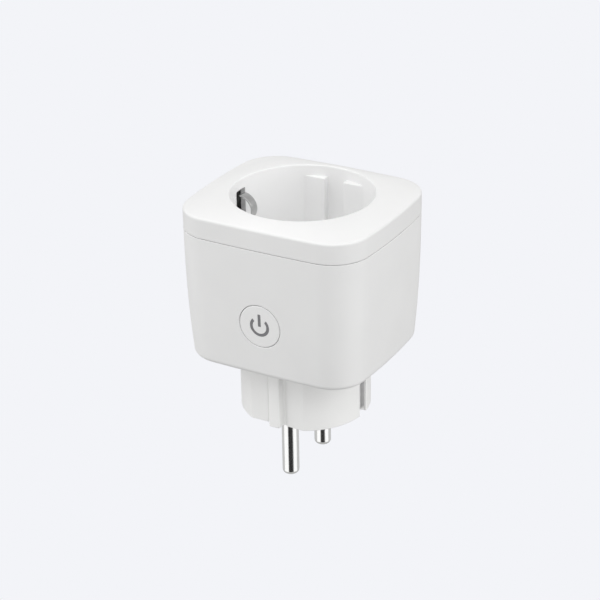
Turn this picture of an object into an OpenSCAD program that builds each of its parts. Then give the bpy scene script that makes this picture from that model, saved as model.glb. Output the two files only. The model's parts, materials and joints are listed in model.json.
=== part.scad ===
// Plug-in smart socket adaptor with a round two-pin earthed plug below, a
// round recessed socket above and a push button on the front face.
// Frame: origin at the centre of the plug's engagement face, between the pins.
// +Z points to the socket mouth, -Y to the button. Millimetres.

/* [Body] */
// Width across the left and right sides at the top edge
width_top = 56.8; // [56:0.1:58]
// Width across the left and right sides at the underside
width_bottom = 53.6; // [53:0.1:55]
// Depth from the button face to the back face at the top edge
depth_top = 50.8; // [50.4:0.1:52]
// Depth from the button face to the back face at the underside
depth_bottom = 47.6; // [47.2:0.1:49]
// Radius of the upright corners at the top edge
corner_top = 11.0; // [10:0.1:11.6]
// Radius of the upright corners at the underside
corner_bottom = 9.9; // [9.5:0.1:10.5]
// Radius of the slow crown of the left and right sides
crown_x = 180; // [140:5:400]
// Radius of the slow crown of the front and back sides
crown_y = 600; // [400:10:1200]
// How late the sides flare out on the way down, as a power
flare_power = 2.6; // [2:0.1:3]
// Wall thickness of the shell
wall = 2.0; // [1.8:0.1:2.1]
// Rounding of the shell's lower edge
foot_round = 1.5; // [1:0.1:1.8]

/* [Heights] */
// Underside of the shell above the plug's engagement face
under_z = 18.5; // [18.3:0.1:18.6]
// Seam between shell and socket cover
seam_z = 56.6; // [56:0.1:57]
// Width of the open seam line
seam_gap = 0.18; // [0.12:0.02:0.5]
// Top edge where the sides turn into the domed face
edge_z = 62.5; // [62:0.1:63]
// Rim of the socket recess, the highest point
rim_z = 64.25; // [64:0.05:64.6]

/* [Socket] */
// Radius of the recess wall
well_r = 19.9; // [19.7:0.05:20]
// Radius of the rim line where the dome meets the recess
rim_r = 20.15; // [20.1:0.05:20.4]
// Depth of the recess below the rim
well_depth = 17.6; // [17.5:0.1:18]
// Radius of each pin entry hole in the recess floor
entry_r = 2.75; // [2.6:0.05:2.9]
// Height of the guide ribs' tops
rib_top_z = 61.1; // [60:0.1:61.5]
// Half the gap between the two guide ribs of a pair
rib_in = 3.0; // [2.6:0.1:3.2]
// Distance from the middle plane to the guide ribs' flat inner faces
rib_y = 17.6; // [17.4:0.05:17.8]

/* [Plug] */
// Radius of the round plug body
plug_r = 18.5; // [18.2:0.05:18.5]
// Distance from the middle plane to the flats that clear an outlet's guide ribs
flat_y = 16.5; // [16.3:0.1:16.8]
// Half width of the block left standing between two flats
block_in = 1.7; // [1.5:0.1:2.2]
// Width of the earth channels at the plug's sides
channel_w = 3.6; // [3.4:0.1:3.8]
// Distance between the two pins
pin_pitch = 19; // [19:0.1:19.2]
// Radius of a pin
pin_r = 2.4; // [2.4:0.01:2.42]
// Reach of a pin beyond the engagement face
pin_len = 19; // [18.8:0.1:19.2]

/* [Button] */
// Height of the button's centre
button_z = 34.3; // [33.8:0.1:35]
// Radius of the button opening
button_hole_r = 6.35; // [6.3:0.05:6.8]
// Radius of the button's face
button_r = 6.17; // [6.05:0.01:6.2]

/* [Hidden] */
$fn = 64;

e = 0.01;
pin_y = pin_pitch / 2;
well_floor_z = rim_z - well_depth;      // top of the recess floor
floor_t = 2.0;                          // thickness of the recess floor
tube_r = well_r + 1.5;                  // outside of the recess wall
shell_top = seam_z - seam_gap / 2;
cover_bottom = seam_z + seam_gap / 2;
floor_top = under_z + 2.0;              // inside floor of the shell
slot_top_z = 61.2;                      // top of the earth clip slots
post_x = 19.4;                          // screw posts, from the middle
post_y = 16.4;
root_r = 2.2;                           // radius of a pin inside the plug
board_z = 24.0;                         // underside of the power board
board_top = 25.6;
ctrl_y = -18.6;                         // front of the upright board

// ---- body outline: rounded rectangle whose four sides bow slightly ----
function mix(a, b, t) = a + (b - a) * t;
function flare(z) = 1 - pow(max(edge_z - z, 0) / (edge_z - under_z), flare_power);
function wide(z) = mix(width_bottom, width_top, flare(z));
function deep(z) = mix(depth_bottom, depth_top, flare(z));
function corner(z) = mix(corner_bottom, corner_top, flare(z));
// centre of the corner arc that touches both side arcs from inside
function corner_centre(w, d, r) =
  let (ax = w / 2 - crown_x, by = d / 2 - crown_y,
       ra = crown_x - r, rb = crown_y - r,
       dist = sqrt(ax * ax + by * by),
       a = (ra * ra - rb * rb + dist * dist) / (2 * dist),
       h = sqrt(ra * ra - a * a),
       ux = -ax / dist, uy = by / dist,
       px = ax + ux * a, py = uy * a)
  [px + -uy * h, py + ux * h];
// one ring of points, counter-clockwise from the -Y end of the +X side;
// inset moves it inwards by an equal distance everywhere
function outline(w, d, r, inset = 0, ns = 6, nc = 12) =
  let (c = corner_centre(w, d, r),
       ax = w / 2 - crown_x, by = d / 2 - crown_y,
       a1 = atan2(c[1], c[0] - ax), a2 = atan2(c[1] - by, c[0]),
       side = [for (i = [0:ns - 1]) let (t = mix(-a1, a1, i / ns)) [ax + (crown_x - inset) * cos(t), (crown_x - inset) * sin(t)]],
       arc = [for (i = [0:nc - 1]) let (t = mix(a1, a2, i / nc)) [c[0] + (r - inset) * cos(t), c[1] + (r - inset) * sin(t)]],
       back = [for (i = [0:ns - 1]) let (t = mix(a2, 180 - a2, i / ns)) [(crown_y - inset) * cos(t), by + (crown_y - inset) * sin(t)]],
       arc2 = [for (i = [0:nc - 1]) let (t = mix(180 - a2, 180 - a1, i / nc)) [-c[0] + (r - inset) * cos(t), c[1] + (r - inset) * sin(t)]],
       half = concat(side, arc, back, arc2))
  concat(half, [for (p = half) -p]);
function body_ring(z, inset = 0) =
  [for (p = outline(wide(z), deep(z), corner(z), inset)) [p[0], p[1], z]];
// closed skin over a stack of rings with equal point counts
module loft(rings) {
  n = len(rings[0]);
  m = len(rings);
  polyhedron(
    points = [for (r = rings) for (p = r) p],
    faces = concat(
      [[for (i = [0:n - 1]) i]],
      [[for (i = [0:n - 1]) m * n - 1 - i]],
      [for (k = [0:m - 2]) for (i = [0:n - 1]) let (j = (i + 1) % n)
        [k * n + j, k * n + i, (k + 1) * n + i]],
      [for (k = [0:m - 2]) for (i = [0:n - 1]) let (j = (i + 1) % n)
        [k * n + j, (k + 1) * n + i, (k + 1) * n + j]]));
}
// flat strip of thickness t along a polyline, as a polygon
function unit(v) = v / norm(v);
function normal_at(p, i) =
  let (n = len(p),
       d1 = i > 0 ? unit(p[i] - p[i - 1]) : unit(p[1] - p[0]),
       d2 = i < n - 1 ? unit(p[i + 1] - p[i]) : unit(p[n - 1] - p[n - 2]),
       m = unit(d1 + d2))
  [-m[1], m[0]] / (m * d1);
function strip(p, t) = concat(
  [for (i = [0:len(p) - 1]) p[i] + normal_at(p, i) * t / 2],
  [for (i = [len(p) - 1:-1:0]) p[i] - normal_at(p, i) * t / 2]);
// box by its two corners
module span(a, b) { translate(a) cube(b - a); }
module post_places() {
  for (sx = [-1, 1]) for (sy = [-1, 1]) translate([sx * post_x, sy * post_y, 0]) children();
}
module pin_places() { for (s = [-1, 1]) translate([0, s * pin_y, 0]) children(); }
// solid that fills the outside shape from the underside up to height top
module outer_body(top) {
  steps = 6;
  loft(concat(
    [for (i = [0:4]) let (a = 90 * i / 4, z = under_z + foot_round * (1 - cos(a)))
      body_ring(z, foot_round * (1 - sin(a)))],
    [for (i = [1:steps]) body_ring(mix(under_z + foot_round, top, i / steps))]));
}

module main_shell() {
  color("white") difference() {
    union() {
      difference() {
        outer_body(shell_top);
        loft([for (i = [0:6]) body_ring(mix(floor_top, shell_top, i / 6) + (i == 6 ? 1 : 0), wall)]);
      }
      // bosses that carry the case screws
      post_places() translate([0, 0, under_z + 1]) cylinder(r = 3.6, h = 9.5);
      // rests under the power board
      for (sx = [-1, 1]) for (sy = [-1, 1])
        translate([sx * 21.9, sy * 7, floor_top - 0.5]) cylinder(r = 1.2, h = board_z - floor_top + 0.45);
    }
    translate([0, 0, under_z - 1]) cylinder(r = plug_r + 0.15, h = 4);
    translate([0, -20, button_z]) rotate([90, 0, 0]) cylinder(r = button_hole_r, h = 10);
    post_places() {
      translate([0, 0, under_z - 1]) cylinder(r = 2.7, h = 5.5);
      translate([0, 0, under_z - 1]) cylinder(r = 1.5, h = 12);
    }
  }
}

module top_cover() {
  steps = 6;
  edge = body_ring(edge_z);
  color("white") difference() {
    union() {
      difference() {
        union() {
          // outer band and domed face
          loft(concat(
            [body_ring(cover_bottom), body_ring(mix(cover_bottom, edge_z, 0.5)), edge],
            [for (i = [1:steps]) let (t = i / steps, f = 1 - pow(1 - t, 1.5))
              [for (p = edge) let (a = atan2(p[1], p[0]))
                [mix(p[0], rim_r * cos(a), t), mix(p[1], rim_r * sin(a), t), mix(edge_z, rim_z, f)]]]));
          // inner lip that centres the cover in the shell
          loft([body_ring(cover_bottom - 3, wall + 0.15), body_ring(cover_bottom + 1, wall + 0.15)]);
          // ledge that rests on the shell and closes the seam behind its open line
          loft([body_ring(shell_top + 0.02, 0.5), body_ring(cover_bottom + 1, 0.5)]);
        }
        loft([body_ring(cover_bottom - 4, wall + 1.3), body_ring(60.4, wall + 1.3)]);
      }
      // recess wall and floor
      translate([0, 0, well_floor_z - floor_t]) cylinder(r = tube_r, h = 60.5 - well_floor_z + floor_t);
      // screw posts beside the recess
      post_places() translate([0, 0, 29.1]) cylinder(r = 3.0, h = 31.4);
    }
    difference() {
      translate([0, 0, well_floor_z]) cylinder(r = well_r, h = 30);
      // two pairs of guide ribs on the pin sides
      for (sx = [-1, 1]) for (sy = [-1, 1])
        span([sx > 0 ? rib_in : -10, sy > 0 ? rib_y : -21, well_floor_z - 1],
             [sx > 0 ? 10 : -rib_in, sy > 0 ? 21 : -rib_y, rib_top_z]);
    }
    // pin entries with a countersunk mouth
    pin_places() {
      translate([0, 0, well_floor_z - floor_t - 1]) cylinder(r = entry_r, h = floor_t + 2);
      translate([0, 0, well_floor_z - 0.5]) cylinder(r1 = entry_r, r2 = entry_r + 0.51, h = 0.51);
    }
    // slots that the earth clips stand in, through wall and floor
    for (s = [-1, 1]) {
      span([s > 0 ? 18.6 : -22, -2.4, well_floor_z - floor_t - 1], [s > 0 ? 22 : -18.6, 2.4, slot_top_z]);
    }
    // pilot holes for the case screws
    post_places() translate([0, 0, 29]) cylinder(r = 1.3, h = 11);
  }
}

module plug_base() {
  r = plug_r;
  fr = 0.3;
  color("white") difference() {
    union() {
      rotate_extrude($fn = 96) polygon(concat(
        [[0, 0]],
        [for (i = [0:4]) [r - fr + fr * sin(90 * i / 4), fr - fr * cos(90 * i / 4)]],
        [[r, floor_top + 0.1], [20.4, floor_top + 0.1], [20.4, 22.4], [0, 22.4]]));
    }
    // hollow inside, round the two pin bosses
    difference() {
      translate([0, 0, 4]) cylinder(r = 13.6, h = 20);
      pin_places() translate([0, 0, 3]) cylinder(r = 4.4, h = 5);
      span([-13.6, -1, 3], [13.6, 1, 20.5]);
    }
    pin_places() translate([0, 0, -1]) cylinder(r = root_r + 0.02, h = 12);
    // shallow relief round each pin where it leaves the face
    pin_places() translate([0, 0, -1]) cylinder(r = pin_r + 0.1, h = 1.4);
    // flats that clear an outlet's guide ribs, with a small round groove at the block's foot
    for (sx = [-1, 1]) for (sy = [-1, 1])
      translate([0, 0, -1]) linear_extrude(height = under_z + 1.1) polygon([for (p = concat(
        [[14, 21], [block_in, 21]],
        [for (i = [0:8]) [block_in + 0.6 - 0.6 * cos(180 * i / 8), flat_y + 0.05 - 0.6 * sin(180 * i / 8)]],
        [[block_in + 1.3, flat_y], [14, flat_y]])) [sx * p[0], sy * p[1]]]);
    // earth channels, with a slot above for the strap
    for (s = [-1, 1]) {
      span([s > 0 ? 15.5 : -21, -channel_w / 2, -1], [s > 0 ? 21 : -15.5, channel_w / 2, under_z + 0.1]);
      span([s > 0 ? 15.8 : -17.3, -1.75, -1], [s > 0 ? 17.3 : -15.8, 1.75, 30]);
    }
  }
}

// solid round pin with an eased tip, a collar inside and a solder tail
module mains_pin() {
  color("silver") union() {
    rotate_extrude() polygon(concat(
      [[0, 9.2], [0, -pin_len]],
      [for (i = [0:5]) [pin_r - 1.2 + 1.2 * sin(90 * i / 5), -pin_len + 1.2 - 1.2 * cos(90 * i / 5)]],
      [[pin_r, 0], [root_r, 0], [root_r, 8.02], [3.3, 8.02], [3.3, 9.2]]));
    translate([0, 0, 9]) cylinder(r = 1.5, h = 17.6);
  }
}
module live_pin() { translate([0, -pin_y, 0]) mains_pin(); }
module neutral_pin() { translate([0, pin_y, 0]) mains_pin(); }

// earth strap: folded channel at the plug's side, strap up the inside, and a
// clip that bows through the slot into the socket recess and tucks back in
module earth_strap() {
  clip = [[16.5, 0.3], [16.5, 27], [16.8, 28.4], [20.3, 32.6], [20.9, 34], [20.9, 45.6],
    [20.7, 47.0], [19.9, 48.9], [18.5, 50.8], [17.2, 52.4], [16.2, 53.9], [15.73, 55.0],
    [15.62, 56.1], [15.75, 57.0], [16.15, 57.9], [16.85, 58.75], [17.65, 59.35], [18.5, 59.75],
    [19.1, 59.85], [19.6, 59.75]];
  color("silver") union() {
    translate([0, 1.4, 0]) rotate([90, 0, 0]) linear_extrude(height = 2.8) polygon(strip(clip, 0.5));
    // folded flanges along the plug's channel
    for (s = [-1, 1]) span([16.3, s > 0 ? 1.3 : -1.7, 0.3], [18.0, s > 0 ? 1.7 : -1.3, under_z - 0.4]);
  }
}
module earth_strap_right() { earth_strap(); }
module earth_strap_left() { mirror([1, 0, 0]) earth_strap(); }
module earth_bridge() {
  color("goldenrod") difference() {
    span([-16.22, -2.2, 22.45], [16.22, 2.2, 23.05]);
    translate([0, 0, 22]) cylinder(r = 1.1, h = 2);
  }
}

// split spring sleeve with a leg down to the power board
module socket_contact(side) {
  color("goldenrod") difference() {
    union() {
      difference() {
        translate([0, 0, 31]) cylinder(r = 3.0, h = 9.2);
        translate([0, 0, 30]) cylinder(r = 2.5, h = 12);
        span([-0.35, -4, 33.5], [0.35, 4, 41]);
      }
      span([side > 0 ? 2.55 : -3.35, -1.6, 23.2], [side > 0 ? 3.35 : -2.55, 1.6, 34]);
    }
    translate([0, 0, 30]) cylinder(r = 2.5, h = 12);
  }
}
module live_socket_contact() { translate([0, -pin_y, 0]) socket_contact(1); }
module neutral_socket_contact() { translate([0, pin_y, 0]) socket_contact(-1); }

// carrier that holds both sleeves under the recess floor
module contact_holder() {
  color("gainsboro") difference() {
    union() {
      span([-5.2, -14.4, 40.4], [5.2, 14.4, 42.4]);
      pin_places() translate([0, 0, 34.2]) cylinder(r = 4.4, h = 7);
      for (s = [-1, 1]) {
        span([-2.6, s > 0 ? 13.1 : -14.4, 25.65], [2.6, s > 0 ? 14.4 : -13.1, 42]);
        span([-2.6, s > 0 ? 13.3 : -14.4, 42], [2.6, s > 0 ? 14.4 : -13.3, well_floor_z - floor_t - 0.02]);
      }
      translate([0, 0, 42]) cylinder(r = 1.5, h = 2.5);
    }
    pin_places() {
      translate([0, 0, 33]) cylinder(r = 3.1, h = 7.25);
      translate([0, 0, 33]) cylinder(r = 2.7, h = 12);
    }
    // room for the sleeves' legs
    span([1.9, -pin_y - 1.8, 33], [3.55, -pin_y + 1.8, 34.6]);
    span([-3.55, pin_y - 1.8, 33], [-1.9, pin_y + 1.8, 34.6]);
  }
}
module safety_shutter() {
  color("white") difference() {
    union() {
      pin_places() translate([0, 0, 42.75]) cylinder(r = 3.0, h = 1.3);
      span([-2.4, -pin_y, 42.75], [2.4, pin_y, 44.05]);
      translate([0, 0, 42.55]) cylinder(r = 3.6, h = 1.85);
    }
    translate([0, 0, 42]) cylinder(r = 1.56, h = 4);
    // pocket for the return spring, open below
    difference() {
      translate([0, 0, 42]) cylinder(r = 3.0, h = 1.7);
      translate([0, 0, 41]) cylinder(r = 1.95, h = 4);
    }
  }
}
// torsion spring round the shutter's pivot
module shutter_spring() {
  wire = 0.16;
  coil = 2.5;
  turns = 2.2;
  n = 44;
  k = 6;
  color("silver") polyhedron(
    points = [for (i = [0:n]) let (a = 360 * turns * i / n, z = mix(42.66, 43.44, i / n))
      for (j = [0:k - 1]) let (b = 360 * j / k, r = coil + wire * cos(b))
        [r * cos(a), r * sin(a), z + wire * sin(b)]],
    faces = concat(
      [[for (j = [0:k - 1]) j]],
      [[for (j = [k - 1:-1:0]) n * k + j]],
      [for (i = [0:n - 1]) for (j = [0:k - 1]) let (m = (j + 1) % k)
        [i * k + m, i * k + j, (i + 1) * k + j]],
      [for (i = [0:n - 1]) for (j = [0:k - 1]) let (m = (j + 1) % k)
        [i * k + m, (i + 1) * k + j, (i + 1) * k + m]]));
}

// power symbol: open ring and a short bar, as a flat shape
module icon_shape(grow = 0) {
  difference() {
    circle(r = 2.95 + grow);
    circle(r = 2.1 - grow);
    polygon([[0, -0.3], [-4 * tan(41), 4 - 0.3], [4 * tan(41), 4 - 0.3]]);
  }
  translate([-0.43 - grow, 0]) square([0.86 + 2 * grow, 3.7 + grow]);
}
module on_button() { translate([0, 0, button_z]) rotate([90, 0, 0]) children(); }
module power_button() {
  color("white") difference() {
    union() {
      intersection() {
        outer_body(shell_top);
        on_button() translate([0, 0, 22.2]) cylinder(r = button_r, h = 6);
      }
      // shoulder that closes the ring line a little below the surface
      intersection() {
        loft([for (i = [0:6]) body_ring(mix(floor_top, shell_top, i / 6), 0.5)]);
        on_button() translate([0, 0, 22.2]) cylinder(r = button_r + 0.11, h = 6);
      }
      on_button() translate([0, 0, 21.5]) cylinder(r = 7.6, h = 0.8);
      on_button() translate([0, 0, 20.95]) cylinder(r = 1.6, h = 1);
    }
    on_button() translate([0, 0, 23.9]) linear_extrude(height = 4) icon_shape(0.02);
  }
}
module power_icon_lens() {
  color("dimgray") intersection() {
    outer_body(shell_top);
    on_button() translate([0, 0, 23.92]) linear_extrude(height = 4) icon_shape();
  }
}
module tact_switch_body() {
  color("black") difference() {
    span([-3, -20.4, button_z - 3], [3, ctrl_y - 0.02, button_z + 3]);
    on_button() translate([0, 0, 19.1]) cylinder(r = 1.56, h = 3);
  }
}
module tact_switch_plunger() {
  color("dimgray") on_button() translate([0, 0, 19.6]) cylinder(r = 1.5, h = 1.3);
}
module status_led() {
  color("lightyellow") span([-0.8, -19.6, 39.2], [0.8, ctrl_y - 0.02, 40.8]);
}
module control_board() {
  color("darkgreen") difference() {
    span([-15, ctrl_y, 25.9], [15, ctrl_y + 1, 43.6]);
    for (s = [-1, 1]) on_button() translate([s * 12.6, 6.4, 17]) cylinder(r = 0.9, h = 3);
  }
}
module wifi_module_board() {
  color("midnightblue") span([-14.6, ctrl_y + 1.02, 27.2], [1.4, ctrl_y + 1.8, 43.2]);
}
module wifi_shield_can() {
  color("silver") difference() {
    span([-13.8, ctrl_y + 1.82, 28], [-2.6, ctrl_y + 3.7, 39.4]);
    span([-13.5, ctrl_y + 1.5, 28.3], [-2.9, ctrl_y + 3.4, 39.1]);
  }
}
module board_header() {
  color("black") union() {
    span([3.2, ctrl_y + 1.02, 26.1], [13.4, ctrl_y + 3.4, 28.5]);
  }
  color("gold") for (i = [0:3])
    translate([4.5 + 2.54 * i, ctrl_y + 2.3, 23.4]) cylinder(r = 0.32, h = 3.2);
}
module power_board() {
  color("darkgreen") difference() {
    span([-23.2, -20.2, board_z], [23.2, 20.2, board_top]);
    post_places() translate([0, 0, 20]) cylinder(r = 4.0, h = 10);
    for (sx = [-1, 1]) for (sy = [-1, 1])
      translate([sx * 23.4, sy * 20.4, 20]) cylinder(r = 6.6, h = 10);
    pin_places() translate([0, 0, 20]) cylinder(r = 1.56, h = 10);
    for (s = [-1, 1]) span([s > 0 ? 15.9 : -17.3, -1.9, 20], [s > 0 ? 17.3 : -15.9, 1.9, 30]);
    span([2.4, -pin_y - 1.8, 20], [3.5, -pin_y + 1.8, 30]);
    span([-3.5, pin_y - 1.8, 20], [-2.4, pin_y + 1.8, 30]);
    for (i = [0:3]) translate([4.5 + 2.54 * i, ctrl_y + 2.3, 20]) cylinder(r = 0.4, h = 10);
    for (y = [-8.6, 8.6]) translate([10.9, y, 20]) cylinder(r = 0.6, h = 10);
    for (x = [-6.6, -2.6]) translate([x, 17.6, 20]) cylinder(r = 0.42, h = 10);
  }
}

// ---- relay ----
module relay_base() {
  color("black") span([6.6, -9.6, 26.1], [15.2, 9.6, 27.6]);
  color("gold") for (y = [-8.6, 8.6]) translate([10.9, y, 23.4]) cylinder(r = 0.5, h = 3);
}
module relay_case() {
  color("royalblue") difference() {
    span([5.9, -10.3, 26.1], [15.9, 10.3, 41.8]);
    span([6.5, -9.7, 25], [15.3, 9.7, 41.2]);
  }
}
module relay_coil() {
  color("chocolate") difference() {
    union() {
      translate([10.9, 2.6, 29.0]) cylinder(r = 3.1, h = 7.6);
      for (z = [28.4, 36.2]) translate([10.9, 2.6, z]) cylinder(r = 3.9, h = 0.7);
    }
    translate([10.9, 2.6, 28]) cylinder(r = 1.35, h = 12);
  }
}
module relay_yoke() {
  color("gray") union() {
    span([8.4, 0, 27.62], [13.4, 8.6, 28.35]);
    span([8.4, 7.6, 27.62], [13.4, 8.6, 37.4]);
    translate([10.9, 2.6, 28]) cylinder(r = 1.3, h = 9.2);
  }
}
module relay_armature() {
  color("gray") union() {
    span([8.4, -2.2, 37.55], [13.4, 8.6, 38.45]);
  }
}
module relay_contact_blade() {
  color("goldenrod") union() {
    span([9.4, -7.8, 38.47], [12.4, 3.0, 38.72]);
    translate([10.9, -6.9, 37.9]) cylinder(r = 1.0, h = 0.6);
  }
}
module relay_fixed_contact() {
  color("goldenrod") union() {
    span([9.4, -9.2, 27.62], [12.4, -8.7, 36.6]);
    span([9.4, -9.2, 36.1], [12.4, -5.9, 36.6]);
    translate([10.9, -6.9, 36.5]) cylinder(r = 1.0, h = 0.7);
  }
}

// ---- loose components on the power board ----
module filter_capacitor() { color("gold") span([-15.2, -13.4, 25.65], [-9.2, -0.6, 36.6]); }
module bulk_capacitors() {
  color("navy") for (y = [4.4, 11.6]) translate([-11.6, y, 25.65]) union() {
    cylinder(r = 3.2, h = 10.6);
    translate([0, 0, 0.8]) cylinder(r = 3.35, h = 9);
  }
}
module filter_inductor() {
  color("dimgray") translate([10.9, 14.6, 25.65]) union() {
    cylinder(r = 3.4, h = 1.2);
    cylinder(r = 2.6, h = 8);
    translate([0, 0, 7]) cylinder(r = 3.4, h = 1.2);
  }
}
module surge_varistor() {
  color("dodgerblue") translate([-4.6, 19.2, 30.4]) rotate([90, 0, 0]) cylinder(r = 4.4, h = 3.2);
  color("silver") for (x = [-6.6, -2.6]) translate([x, 17.6, 23.5]) cylinder(r = 0.35, h = 4);
}
module fuse_resistor() { color("lightgreen") translate([4.2, 17.4, 25.65]) cylinder(r = 1.7, h = 8.6); }
module bridge_rectifier() { color("black") span([-22.6, 5.4, board_top + 0.02], [-18.2, 10.6, 28]); }
module power_converter_chip() { color("black") span([18.4, -9.4, board_top + 0.02], [22.4, -4.4, 27.2]); }
module metering_chip() { color("black") span([-22.4, -10.2, board_top + 0.02], [-18.4, -5.2, 27.2]); }
module metering_shunt() {
  color("sienna") translate([19.6, 0, 0]) rotate([0, 0, 0]) union() {
    span([0, 5, board_top + 0.02], [2, 5.8, 28.6]);
    span([0, 11.2, board_top + 0.02], [2, 12, 28.6]);
    span([0, 5, 28], [2, 12, 28.8]);
  }
}
module case_screws() {
  color("silver") post_places() difference() {
    union() {
      translate([0, 0, 20.9]) cylinder(r = 2.4, h = 2.08);
      translate([0, 0, 22]) cylinder(r = 1.25, h = 15);
    }
    translate([0, 0, 20]) cylinder(r = 1.25, h = 2.2, $fn = 3);
  }
}

main_shell();
top_cover();
plug_base();
live_pin();
neutral_pin();
earth_strap_left();
earth_strap_right();
earth_bridge();
live_socket_contact();
neutral_socket_contact();
contact_holder();
safety_shutter();
shutter_spring();
power_button();
power_icon_lens();
tact_switch_body();
tact_switch_plunger();
status_led();
control_board();
wifi_module_board();
wifi_shield_can();
board_header();
power_board();
relay_base();
relay_case();
relay_coil();
relay_yoke();
relay_armature();
relay_contact_blade();
relay_fixed_contact();
filter_capacitor();
bulk_capacitors();
filter_inductor();
surge_varistor();
fuse_resistor();
bridge_rectifier();
power_converter_chip();
metering_chip();
metering_shunt();
case_screws();
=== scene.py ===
"""Plug-in smart socket adaptor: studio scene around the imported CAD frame."""

import json
import math

import bmesh
import bpy
import numpy as np
from mathutils import Matrix, Vector


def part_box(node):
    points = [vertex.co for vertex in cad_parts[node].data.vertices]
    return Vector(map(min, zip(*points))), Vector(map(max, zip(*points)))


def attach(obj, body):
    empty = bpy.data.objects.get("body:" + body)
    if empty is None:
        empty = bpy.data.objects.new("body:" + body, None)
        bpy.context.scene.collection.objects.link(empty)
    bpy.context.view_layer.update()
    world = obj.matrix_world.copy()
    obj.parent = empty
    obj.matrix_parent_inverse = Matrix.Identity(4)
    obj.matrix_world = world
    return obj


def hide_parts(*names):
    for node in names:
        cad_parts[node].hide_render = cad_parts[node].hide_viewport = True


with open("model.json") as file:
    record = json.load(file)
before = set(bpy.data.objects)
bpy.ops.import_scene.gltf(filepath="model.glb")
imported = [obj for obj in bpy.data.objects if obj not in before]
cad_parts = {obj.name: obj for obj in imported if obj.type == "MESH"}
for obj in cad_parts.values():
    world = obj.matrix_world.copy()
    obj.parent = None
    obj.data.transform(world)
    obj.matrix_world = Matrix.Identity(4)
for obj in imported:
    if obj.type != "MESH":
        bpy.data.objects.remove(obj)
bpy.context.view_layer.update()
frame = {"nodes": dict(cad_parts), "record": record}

# ---------------------------------------------------------------------------
# sizes in millimetres; heights and places come from the CAD nodes' boxes
# ---------------------------------------------------------------------------
MM = 0.001


def mm(v):
    return round(v / MM, 3)


shell_lo, shell_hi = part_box("main_shell")
cover_lo, cover_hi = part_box("top_cover")
plug_lo, plug_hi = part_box("plug_base")
pin_lo, pin_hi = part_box("live_pin")
btn_lo, btn_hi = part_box("power_button")

UNDER_Z = mm(shell_lo.z)                  # underside of the body
SHELL_TOP = mm(shell_hi.z)                # lower lip of the seam
SEAM_GAP = 0.18
LEDGE_IN = 0.5                            # how far the seam's closing ledge stands back
COVER_BOTTOM = round(SHELL_TOP + SEAM_GAP, 3)
RIM_Z = mm(cover_hi.z)                    # mouth of the recess
EDGE_Z = 62.5                             # crease between band and dome
WIDTH_TOP = round(2 * mm(cover_hi.x), 2)
DEPTH_TOP = round(2 * mm(cover_hi.y), 2)
WIDTH_BOTTOM, DEPTH_BOTTOM = 53.6, 47.6
CORNER_TOP, CORNER_BOTTOM = 11.0, 9.9
CROWN_X, CROWN_Y = 180.0, 600.0
FLARE_POWER = 2.6
WALL = 2.0
FOOT = 1.5
WELL_R = 19.9
RIM_FILLET = 0.35
WELL_FLOOR = round(RIM_Z - 17.6, 3)
FLOOR_T = 2.0
TUBE_R = 21.4
RIB_IN, RIB_Y, RIB_TOP = 3.0, 17.6, 61.1
PLUG_R = 18.5
PLUG_EDGE = 0.3
FLAT_Y, BLOCK_IN = 16.5, 1.7
CHANNEL_W, CHANNEL_X = 3.6, 15.5
PLUG_TOP = mm(plug_hi.z)
FLANGE_R = mm(plug_hi.x)
PIN_Y = 9.5
PIN_R = 2.4
PIN_TIP = mm(pin_lo.z)
PIN_END = mm(pin_hi.z)
ENTRY_R = 2.75
BUTTON_Z = round((mm(btn_lo.z) + mm(btn_hi.z)) / 2, 3)
BUTTON_R, BUTTON_HOLE_R, SHOULDER_R = 6.17, 6.35, 6.28
POST_X, POST_Y = 19.4, 16.4


def rad(a):
    return math.radians(a)


def mix(a, b, t):
    return a + (b - a) * t


# ---------------------------------------------------------------------------
# body outline: four bowed sides and round corners, as in the CAD
# ---------------------------------------------------------------------------
def flare(z):
    return 1 - (max(EDGE_Z - z, 0.0) / (EDGE_Z - UNDER_Z)) ** FLARE_POWER


def section(z):
    f = flare(z)
    return mix(WIDTH_BOTTOM, WIDTH_TOP, f), mix(DEPTH_BOTTOM, DEPTH_TOP, f), mix(CORNER_BOTTOM, CORNER_TOP, f)


def corner_centre(w, d, r):
    ax, by = w / 2 - CROWN_X, d / 2 - CROWN_Y
    ra, rb = CROWN_X - r, CROWN_Y - r
    dist = math.hypot(ax, by)
    a = (ra * ra - rb * rb + dist * dist) / (2 * dist)
    h = math.sqrt(ra * ra - a * a)
    ux, uy = -ax / dist, by / dist
    return ax + ux * a - uy * h, uy * a + ux * h


def columns():
    """Polar angles of the loft's columns: finer round the corners."""
    w, d, r = section(EDGE_Z)
    cx, cy = corner_centre(w, d, r)
    a1 = math.atan2(cy, cx - (w / 2 - CROWN_X))
    a2 = math.atan2(cy - (d / 2 - CROWN_Y), cx)
    arc = [math.atan2(cy + r * math.sin(t), cx + r * math.cos(t)) for t in np.linspace(a1, a2, 31)]
    first = list(np.linspace(0, arc[0], 17))[:-1] + arc + list(np.linspace(arc[-1], math.pi / 2, 22))[1:]
    q = np.array(first[:-1])
    half = np.concatenate([q, [math.pi / 2], (math.pi - q[1:])[::-1]])
    return np.concatenate([half, half + math.pi])


TH = columns()
NC = len(TH)


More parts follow.
